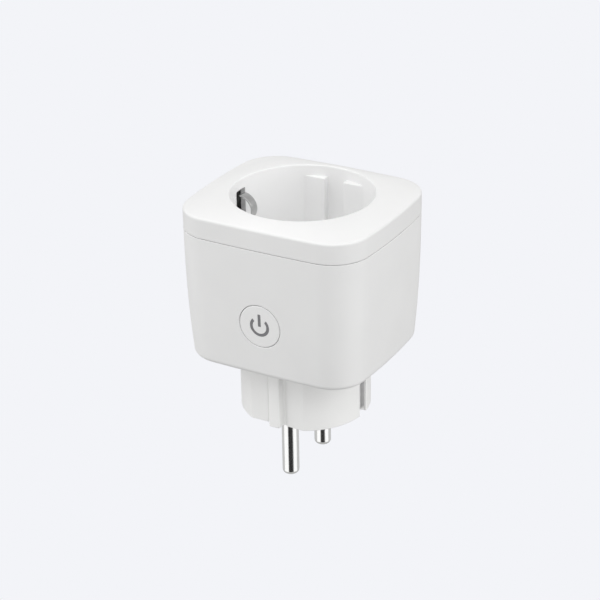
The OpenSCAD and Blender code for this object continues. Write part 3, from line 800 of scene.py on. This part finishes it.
        # slot for the earth clip, with eased top corners
        face = rounded([(-2.4, bot - 1), (2.4, bot - 1), (2.4, 61.2, 0.5), (-2.4, 61.2, 0.5)], 5)
        q = Sheet()
        a = q.ring([(sx * 18.6, y, z) for y, z in face])
        b = q.ring([(sx * 22.0, y, z) for y, z in face])
        q.bridge(a, b)
        q.cap(a)
        q.cap(b)
        boolean(ob, q.make("slot"), "DIFFERENCE")
    return finish_piece(ob, "housing", ["top_cover"], M["cover_white"])


# ---------------------------------------------------------------------------
# round plug body
# ---------------------------------------------------------------------------
def plug_outline():
    """Counter-clockwise section: round body, flats beside a centre block, earth channels."""
    half_w = CHANNEL_W / 2

    def on(x):
        return math.sqrt(PLUG_R ** 2 - x * x)

    def ang(x, y):
        return math.degrees(math.atan2(y, x))

    flat_x = on(FLAT_Y)
    quad = [(CHANNEL_X, 0), (CHANNEL_X, half_w, 0.45), (on(half_w), half_w, 0.36)]
    quad += arc_pts(0, 0, PLUG_R, ang(on(half_w), half_w) + 1.8, ang(flat_x, FLAT_Y) - 1.2, 30)
    quad += [(flat_x, FLAT_Y, 0.7)]
    quad += [(x, FLAT_Y) for x in np.linspace(flat_x - 0.8, BLOCK_IN + 1.9, 8)]
    # small round groove at the block's foot
    quad += [(BLOCK_IN + 1.6, FLAT_Y), (BLOCK_IN + 1.36, FLAT_Y - 0.03), (BLOCK_IN + 1.2, FLAT_Y - 0.11)]
    quad += [(BLOCK_IN + 0.6 + 0.6 * math.cos(rad(t)), FLAT_Y + 0.05 - 0.6 * math.sin(rad(t))) for t in np.linspace(32, 180, 13)]
    quad += [(BLOCK_IN, on(BLOCK_IN), 0.4)]
    quad += arc_pts(0, 0, PLUG_R, ang(BLOCK_IN, on(BLOCK_IN)) + 1.8, 90, 4)
    mirror = [(-p[0], *p[1:]) for p in reversed(quad[:-1])]
    half = quad + mirror
    other = [(-p[0], -p[1], *p[2:]) for p in half[1:-1]]
    return np.array(rounded(half + other, 5))


def plug_circle_angles(line):
    """Angles on the full circle that follow the section's points without folding back."""
    r = np.linalg.norm(line, axis=1)
    a = np.unwrap(np.arctan2(line[:, 1], line[:, 0]))
    on = r > PLUG_R - 0.012
    n = len(line)
    start = int(np.argmax(on))
    order = [(start + i) % n for i in range(n + 1)]
    out = np.zeros(n)
    run, base = [order[0]], a[order[0]]
    length = [0.0]
    for prev, cur in zip(order, order[1:]):
        length.append(length[-1] + float(np.linalg.norm(line[cur] - line[prev])))
    anchors = [i for i, k in enumerate(order) if on[k]]
    ang = np.unwrap([a[order[i]] for i in anchors])
    vals = np.interp(length, [length[i] for i in anchors], ang)
    for i, k in enumerate(order[:-1]):
        out[k] = vals[i]
    return out


def make_plug():
    line = plug_outline()
    full = plug_circle_angles(line)
    s = Sheet()

    def level(z, e=0.0):
        q = inset_outline(line, e) if e else line
        return np.column_stack([q, np.full(len(q), z)])

    rings = [level(PLUG_EDGE * (1 - math.sin(rad(90 - a))), PLUG_EDGE * (1 - math.sin(rad(a)))) for a in quarter(6)]
    rings += [level(z) for z in [PLUG_EDGE + 0.15] + list(np.linspace(1.4, UNDER_Z - 0.2, 16)) + [UNDER_Z + 0.1]]
    top = [circle_ring(PLUG_R, UNDER_Z + 0.1, full), circle_ring(PLUG_R, 20.6, full), circle_ring(FLANGE_R - 0.2, 20.6, full),
           circle_ring(FLANGE_R, 20.8, full), circle_ring(FLANGE_R, PLUG_TOP - 0.2, full), circle_ring(FLANGE_R - 0.2, PLUG_TOP, full)]
    ids = s.loft(rings + top)
    s.cap(ids[0])
    s.cap(ids[-1])
    ob = s.make("plug_body")
    # hollow above the pins' bosses
    cav = lathe("hollow", [(13.2, 4.0), (13.6, 4.4), (13.6, 24.0)], 96)
    for sy in (-1, 1):
        boolean(cav, lathe("boss", [(4.6, 3.0), (4.4, 7.8), (4.2, 8.0)], 48, (0, sy * PIN_Y, 0)), "DIFFERENCE")
    boolean(cav, slab("web", (-14.5, -1, 3), (14.5, 1, 20.5)), "DIFFERENCE")
    boolean(ob, cav, "DIFFERENCE")
    for sy in (-1, 1):
        cut = [(PIN_R + 0.3, -1.0), (PIN_R + 0.3, -0.2), (PIN_R + 0.16, 0.04), (PIN_R + 0.1, 0.12), (PIN_R + 0.1, 0.4), (2.22, 0.4), (2.22, 12.0)]
        boolean(ob, lathe("pin_hole", cut, 72, (0, sy * PIN_Y, 0)), "DIFFERENCE")
    for sx in (-1, 1):
        lo, hi = sorted((sx * 15.8, sx * 17.3))
        boolean(ob, slab("strap_slot", (lo, -1.75, 17.0), (hi, 1.75, 24.0)), "DIFFERENCE")
    return finish_piece(ob, "housing", ["plug_base"], M["plug_white"])


# ---------------------------------------------------------------------------
# pins, earth straps, screws
# ---------------------------------------------------------------------------
def make_pin(name, node, y):
    tip = 1.2
    prof = [(0.4, PIN_TIP), (0.85, PIN_TIP)]
    prof += [(PIN_R - tip + tip * math.sin(rad(a)), PIN_TIP + tip * (1 - math.cos(rad(a)))) for a in quarter(12)]
    prof += [(PIN_R, PIN_TIP + tip + 0.12)] + [(PIN_R, z) for z in np.linspace(PIN_TIP + 2, -0.3, 12)]
    prof += [(PIN_R, -0.06), (PIN_R - 0.05, 0.0), (2.2, 0.0), (2.2, 8.02), (3.2, 8.02), (3.3, 8.12), (3.3, 9.1), (3.2, 9.2), (1.5, 9.2),
             (1.5, PIN_END - 0.3), (1.3, PIN_END)]
    ob = lathe(name, prof, 112, (0, y, 0))
    return finish_piece(ob, "housing", [node], M["pin_nickel"], angle=35)


STRAP = [(16.5, 16.0), (16.5, 20.0), (16.5, 24.0), (16.52, 26.4), (16.85, 28.4), (18.4, 30.4), (20.1, 32.3), (20.8, 34.2), (20.9, 37.0), (20.9, 41.0), (20.9, 45.0),
         (20.7, 47.0), (19.9, 48.9), (18.5, 50.8), (17.2, 52.4), (16.2, 53.9), (15.73, 55.0), (15.62, 56.1), (15.75, 57.0), (16.15, 57.9), (16.85, 58.75),
         (17.65, 59.35), (18.5, 59.75), (19.1, 59.85), (19.6, 59.75)]


def spline(points, per=6):
    """Centripetal curve through the points."""
    p = [np.array(q, float) for q in points]
    p = [2 * p[0] - p[1]] + p + [2 * p[-1] - p[-2]]
    out = []
    for i in range(1, len(p) - 2):
        p0, p1, p2, p3 = p[i - 1:i + 3]
        t = [0.0]
        for a, b in ((p0, p1), (p1, p2), (p2, p3)):
            t.append(t[-1] + math.sqrt(np.linalg.norm(b - a)))
        for k in range(per):
            u = mix(t[1], t[2], k / per)
            a1 = (t[1] - u) / (t[1] - t[0]) * p0 + (u - t[0]) / (t[1] - t[0]) * p1
            a2 = (t[2] - u) / (t[2] - t[1]) * p1 + (u - t[1]) / (t[2] - t[1]) * p2
            a3 = (t[3] - u) / (t[3] - t[2]) * p2 + (u - t[2]) / (t[3] - t[2]) * p3
            b1 = (t[2] - u) / (t[2] - t[0]) * a1 + (u - t[0]) / (t[2] - t[0]) * a2
            b2 = (t[3] - u) / (t[3] - t[1]) * a2 + (u - t[1]) / (t[3] - t[1]) * a3
            out.append((t[2] - u) / (t[2] - t[1]) * b1 + (u - t[1]) / (t[2] - t[1]) * b2)
    out.append(p[-2])
    return np.array(out)


def make_strap(name, node, sx):
    # bent strip
    path = spline(STRAP, 6)
    d = np.gradient(path, axis=0)
    d /= np.linalg.norm(d, axis=1)[:, None]
    nrm = np.column_stack([-d[:, 1], d[:, 0]])
    hw, ht = 1.4, 0.25
    sec = rounded([(-ht, -hw, 0.1), (ht, -hw, 0.1), (ht, hw, 0.1), (-ht, hw, 0.1)], 3)
    s = Sheet()
    rings = []
    n = len(path)
    for i in range(n):
        left = (n - 1 - i)
        k = [0.80, 0.93, 1.0][min(left, 2)]    # the free end is eased
        rings.append([(sx * (path[i][0] + nrm[i][0] * a * (k if left < 2 else 1)), b * k, path[i][1] + nrm[i][1] * a * (k if left < 2 else 1)) for a, b in sec])
    ids = s.loft(rings)
    s.cap(ids[0])
    s.cap(ids[-1])
    ob = s.make(name)
    # folded channel along the plug's side
    u = rounded([(16.25, -1.70, 0.42), (18.0, -1.70, 0.10), (18.0, -1.32, 0.10), (16.75, -1.32, 0.16), (16.75, 1.32, 0.16), (18.0, 1.32, 0.10),
                 (18.0, 1.70, 0.10), (16.25, 1.70, 0.42)], 4)
    q = Sheet()
    rings = []
    heights = [0.30, 0.36, 0.45] + list(np.linspace(0.55, 1.5, 9)) + list(np.linspace(2.5, 17.9, 14)) + [18.0, 18.1]
    for z in heights:
        cut = 0.9
        lim = 18.0 if z >= 0.3 + cut else 18.0 - (cut - math.sqrt(cut ** 2 - (0.3 + cut - z) ** 2))
        e = {0.30: 0.08, 0.36: 0.03, 0.45: 0.0, 18.0: 0.02, 18.1: 0.07}.get(round(z, 2), 0.0)
        line = inset_outline(u, e)
        line[:, 0] = np.minimum(line[:, 0], lim)
        rings.append([(sx * x, y, z) for x, y in line])
    ids = q.loft(rings)
    q.cap(ids[0])
    q.cap(ids[-1])
    boolean(ob, q.make("channel"), "UNION")
    return finish_piece(ob, "housing", [node], M["earth_steel"], angle=40)


def make_screws():
    obs = []
    for i, (sx, sy) in enumerate(((-1, -1), (1, -1), (1, 1), (-1, 1))):
        prof = [(0.8, 20.9), (1.5, 20.92)]
        prof += [(2.0 + 0.4 * math.sin(rad(a)), 21.36 - 0.4 * math.cos(rad(a)) - 0.03) for a in quarter(5)]
        prof += [(2.4, 22.7), (2.3, 22.98), (1.25, 22.98), (1.25, 35.8), (0.5, 37.0)]
        ob = lathe(f"screw{i}", prof, 64, (sx * POST_X, sy * POST_Y, 0))
        turn = 20 + 67 * i
        tri = rounded([(1.3 * math.cos(rad(turn + 120 * k)), 1.3 * math.sin(rad(turn + 120 * k)), 0.12) for k in range(3)], 3)
        boolean(ob, prism("tri", [(x + sx * POST_X, y + sy * POST_Y) for x, y in tri], 20.0, 22.1), "DIFFERENCE")
        obs.append(ob)
    bm = bmesh.new()
    for ob in obs:
        bm.from_mesh(ob.data)
    me = bpy.data.meshes.new("case_screw_set")
    bm.to_mesh(me)
    bm.free()
    for ob in obs:
        old = ob.data
        bpy.data.objects.remove(ob)
        bpy.data.meshes.remove(old)
    ob = bpy.data.objects.new("case_screw_set", me)
    bpy.context.scene.collection.objects.link(ob)
    return finish_piece(ob, "housing", ["case_screws"], M["screw_steel"])


# ---------------------------------------------------------------------------
# push button with its power symbol
# ---------------------------------------------------------------------------
def icon_outlines(grow=0.0):
    """Open ring and bar, as two closed outlines in the button's plane (x, z)."""
    ro, ri = 2.95 + grow, 2.1 - grow
    apex, half = -0.3, 41.0

    def meet(r, side):
        # where the opening's edge crosses radius r
        dx, dz = side * math.sin(rad(half)), math.cos(rad(half))
        b = dz * apex
        t = -b + math.sqrt(b * b - apex * apex + r * r)
        return math.degrees(math.atan2(apex + t * dz, t * dx))

    g = math.degrees(grow / 2.5)
    a_o0, a_i0 = meet(ro, 1) + g, meet(ri, 1) + g
    a_o1, a_i1 = meet(ro, -1) - g, meet(ri, -1) - g
    n = 72
    outer = arc_pts(0, 0, ro, a_o0 - 360 + 0.0, a_o1 - 360, n)
    # travel the long way round, below
    outer = arc_pts(0, 0, ro, a_o1, a_o0 + 360, n)
    inner = arc_pts(0, 0, ri, a_i0 + 360, a_i1, n)
    c = 0.09
    ring = rounded([(*outer[0], c)] + outer[1:-1] + [(*outer[-1], c), (*inner[0], c)] + inner[1:-1] + [(*inner[-1], c)], 3)
    w = 0.43 + grow
    bar = rounded([(-w, -grow, 0.12), (w, -grow, 0.12), (w, 3.7 + grow, 0.12), (-w, 3.7 + grow, 0.12)], 4)
    return ring, bar


def icon_prisms(grow, depth_y, top=None, name="icon"):
    s = Sheet()
    for line in icon_outlines(grow):
        p = np.array(line)
        area = (p[:, 0] * np.roll(p[:, 1], -1) - np.roll(p[:, 0], -1) * p[:, 1]).sum()
        if area < 0:
            p = p[::-1]
        x, z = p[:, 0], p[:, 1] + BUTTON_Z
        a = s.ring(np.column_stack([x, np.full(len(x), depth_y), z]))
        if top is None:
            b = s.ring(np.column_stack([x, np.full(len(x), -27.0), z]))
            s.bridge(a, b)
            s.cap(b)
        else:
            e = 0.04
            q = inset_outline(p, e)
            b = s.ring(np.column_stack([x, face_y(x, z) + top + e, z]))
            qx, qz = q[:, 0], q[:, 1] + BUTTON_Z
            m = inset_outline(p, e * 0.3)
            mx, mz = m[:, 0], m[:, 1] + BUTTON_Z
            c = s.ring(np.column_stack([mx, face_y(mx, mz) + top + e * 0.3, mz]))
            d = s.ring(np.column_stack([qx, face_y(qx, qz) + top, qz]))
            s.bridge(a, b)
            s.bridge(b, c)
            s.bridge(c, d)
            s.cap(d)
        s.cap(a)
    return s.make(name)


def make_button():
    s = Sheet()
    n = 128
    phi = np.linspace(0, 2 * math.pi, n, endpoint=False)

    def on_face(rho, depth):
        x, z = rho * np.cos(phi), BUTTON_Z + rho * np.sin(phi)
        return np.column_stack([x, face_y(x, z) + depth, z])

    def flat(rho, y):
        return np.column_stack([rho * np.cos(phi), np.full(n, y), BUTTON_Z + rho * np.sin(phi)])

    e = 0.20
    rings = [on_face(r, 0) for r in (0.5, 1.0, 1.5, 2.0, 2.5, 3.0, 3.5, 4.0, 4.6, 5.2, 5.7, BUTTON_R - e - 0.08)]
    rings += [on_face(BUTTON_R - e + e * math.sin(rad(a)), e * (1 - math.cos(rad(a)))) for a in quarter(6)]
    rings += [on_face(BUTTON_R, 0.5), on_face(SHOULDER_R, 0.5), on_face(SHOULDER_R, 0.8), flat(SHOULDER_R, -22.4), flat(SHOULDER_R + 0.1, -22.3), flat(7.5, -22.3), flat(7.6, -22.2), flat(7.6, -21.6),
              flat(7.5, -21.5), flat(1.7, -21.5), flat(1.6, -21.4), flat(1.6, -21.05), flat(1.5, -20.95)]
    ids = s.loft(rings)
    s.fan(ids[0], (0, float(face_y(0.0, BUTTON_Z)[0]), BUTTON_Z))
    s.fan(ids[-1], (0, -20.95, BUTTON_Z))
    ob = s.make("button_cap")
    boolean(ob, icon_prisms(0.02, -23.9, name="icon_cut"), "DIFFERENCE")
    finish_piece(ob, "button", ["power_button"], M["button_white"])
    lens = icon_prisms(0.0, -23.92, top=0.03, name="button_symbol")
    finish_piece(lens, "button", ["power_icon_lens"], M["icon_grey"])


make_shell()
make_cover()
make_plug()
make_pin("pin_front", "live_pin", -PIN_Y)
make_pin("pin_rear", "neutral_pin", PIN_Y)
make_strap("earth_clip_right", "earth_strap_right", 1)
make_strap("earth_clip_left", "earth_strap_left", -1)
make_screws()
make_button()

# ---------------------------------------------------------------------------
# studio: pale floor, soft lights, camera
# ---------------------------------------------------------------------------
scene = bpy.context.scene
PALE = (0.8963, 0.9047, 0.9387)
WORLD_LIT, FLOOR_LIT = 0.60, 0.50        # strength of the surround above and below as light


def camera_split(nt, seen, lit):
    """Two emission strengths: what the camera sees, and what lights the object."""
    lp = nt.nodes.new("ShaderNodeLightPath")
    m = nt.nodes.new("ShaderNodeMixShader")
    nt.links.new(lp.outputs["Is Camera Ray"], m.inputs["Fac"])
    nt.links.new(lit, m.inputs[1])
    nt.links.new(seen, m.inputs[2])
    return m.outputs["Shader"]


world = bpy.data.worlds.new("studio")
scene.world = world
world.use_nodes = True
nt = world.node_tree
nt.nodes.clear()
out = nt.nodes.new("ShaderNodeOutputWorld")
seen = nt.nodes.new("ShaderNodeBackground")
seen.inputs["Color"].default_value = (*PALE, 1)
seen.inputs["Strength"].default_value = 1.0
lit = nt.nodes.new("ShaderNodeBackground")
lit.inputs["Color"].default_value = (1.0, 1.0, 0.995, 1)
lit.inputs["Strength"].default_value = WORLD_LIT
nt.links.new(camera_split(nt, seen.outputs["Background"], lit.outputs["Background"]), out.inputs["Surface"])

floor_mat = bpy.data.materials.new("studio_floor")
floor_mat.use_nodes = True
nt = floor_mat.node_tree
nt.nodes.clear()
out = nt.nodes.new("ShaderNodeOutputMaterial")
seen = nt.nodes.new("ShaderNodeEmission")
seen.inputs["Color"].default_value = (*PALE, 1)
seen.inputs["Strength"].default_value = 1.0
lit = nt.nodes.new("ShaderNodeEmission")
lit.inputs["Color"].default_value = (1.0, 1.0, 0.99, 1)
lit.inputs["Strength"].default_value = FLOOR_LIT
nt.links.new(camera_split(nt, seen.outputs["Emission"], lit.outputs["Emission"]), out.inputs["Surface"])

FLOOR_Z = -0.16
g = Sheet()
ticks = np.linspace(-4000, 4000, 9)
ids = [g.ring([(x, y, FLOOR_Z / MM) for x in ticks]) for y in ticks]
for a, b in zip(ids, ids[1:]):
    for i in range(len(ticks) - 1):
        g.f.append((a[i], a[i + 1], b[i + 1], b[i]))
floor = g.make("studio_floor")
floor.data.transform(Matrix.Scale(MM, 4))
floor.data.materials.append(floor_mat)


def area_light(name, at, aim, size, power, colour=(1, 1, 1)):
    data = bpy.data.lights.new(name, "AREA")
    data.shape = "RECTANGLE"
    data.size, data.size_y = size
    data.energy = power
    data.color = colour
    ob = bpy.data.objects.new(name, data)
    scene.collection.objects.link(ob)
    ob.location = at
    ob.rotation_euler = (Vector(aim) - Vector(at)).to_track_quat("-Z", "Y").to_euler()
    ob.visible_camera = False
    return ob


# name, place, aim, size, power
LIGHTS = [
    ("front_high", (0.265, -0.459, 0.888), (0, 0, 0.04), (0.6, 0.6), 2.3),
    ("left_high", (-0.557, -0.321, 0.806), (0, 0, 0.04), (0.7, 0.7), 2.8),
    ("right_low", (0.993, 0.087, 0.505), (0, 0, 0.04), (0.8, 0.8), 4.7),
    ("front_fill", (0.371, -1.018, 0.231), (0, 0, 0.04), (0.8, 0.8), 0.9),
    ("left_low", (-0.798, -0.372, 0.227), (0, 0, 0.04), (0.6, 0.6), 1.7),
]
for row in LIGHTS:
    area_light(*row)


def card(name, radius, z0, z1, a0, a1, level):
    """Curved studio card, seen only by shiny surfaces. Angles run from -Y towards +X."""
    m = bpy.data.materials.new(name)
    m.use_nodes = True
    nt = m.node_tree
    nt.nodes.clear()
    out = nt.nodes.new("ShaderNodeOutputMaterial")
    em = nt.nodes.new("ShaderNodeEmission")
    em.inputs["Color"].default_value = (level, level, level, 1)
    em.inputs["Strength"].default_value = 1.0
    nt.links.new(em.outputs["Emission"], out.inputs["Surface"])
    q = Sheet()
    steps = 24
    arc = [(radius * math.sin(rad(mix(a0, a1, i / steps))), -radius * math.cos(rad(mix(a0, a1, i / steps)))) for i in range(steps + 1)]
    lower = q.ring([(x, y, z0) for x, y in arc])
    upper = q.ring([(x, y, z1) for x, y in arc])
    for i in range(steps):
        q.f.append((lower[i], lower[i + 1], upper[i + 1], upper[i]))
    ob = q.make(name)
    ob.data.transform(Matrix.Scale(MM, 4))
    ob.data.materials.append(m)
    ob.visible_camera = ob.visible_diffuse = ob.visible_shadow = ob.visible_transmission = ob.visible_volume_scatter = False
    return ob


# what the bright pins mirror: a dark card in front with a grey border, a bright surround, a grey card behind with a dark one in its middle
card("card_front", 180.0, -155.0, -50.0, 29.45 - 26, 29.45 + 26, 0.02)
card("card_grey", 183.0, -155.0, -50.0, 29.45 - 33, 29.45 + 37, 0.36)
card("card_bright", 186.0, -155.0, -50.0, 29.45 - 89, 29.45 + 89, 1.12)
card("card_back", 186.0, -155.0, -50.0, 29.45 + 90, 29.45 + 270, 0.60)
card("card_rear", 180.0, -155.0, -50.0, 29.45 + 160, 29.45 + 200, 0.06)

# camera at the picture's viewing angle
AZ, EL, ROLL = rad(29.45), rad(25.03), rad(-0.94)
DIST, FOCAL_PX = 0.520, 1874.6
OFF_X, OFF_Y = 4.17, 27.3
LOOK = Vector((0, 0, 0.040))
back = Vector((math.sin(AZ) * math.cos(EL), -math.cos(AZ) * math.cos(EL), math.sin(EL)))
right = Vector((math.cos(AZ), math.sin(AZ), 0))
up = back.cross(right)
r2 = right * math.cos(ROLL) + up * math.sin(ROLL)
u2 = -right * math.sin(ROLL) + up * math.cos(ROLL)
aim = (-back - r2 * (OFF_X / FOCAL_PX) - u2 * (OFF_Y / FOCAL_PX)).normalized()
side = (r2 - aim * r2.dot(aim)).normalized()
top = side.cross(aim)
cam_data = bpy.data.cameras.new("camera")
cam_data.sensor_width = 36.0
cam_data.lens = FOCAL_PX / 600.0 * 36.0
cam_data.clip_start, cam_data.clip_end = 0.02, 30.0
cam = bpy.data.objects.new("camera", cam_data)
scene.collection.objects.link(cam)
rot = Matrix((side, top, -aim)).transposed()
cam.matrix_world = Matrix.Translation(LOOK + back * DIST) @ rot.to_4x4()
scene.camera = cam

scene.view_settings.view_transform = "Standard"
scene.view_settings.look = "None"
scene.view_settings.exposure = 0.0
scene.view_settings.gamma = 1.0
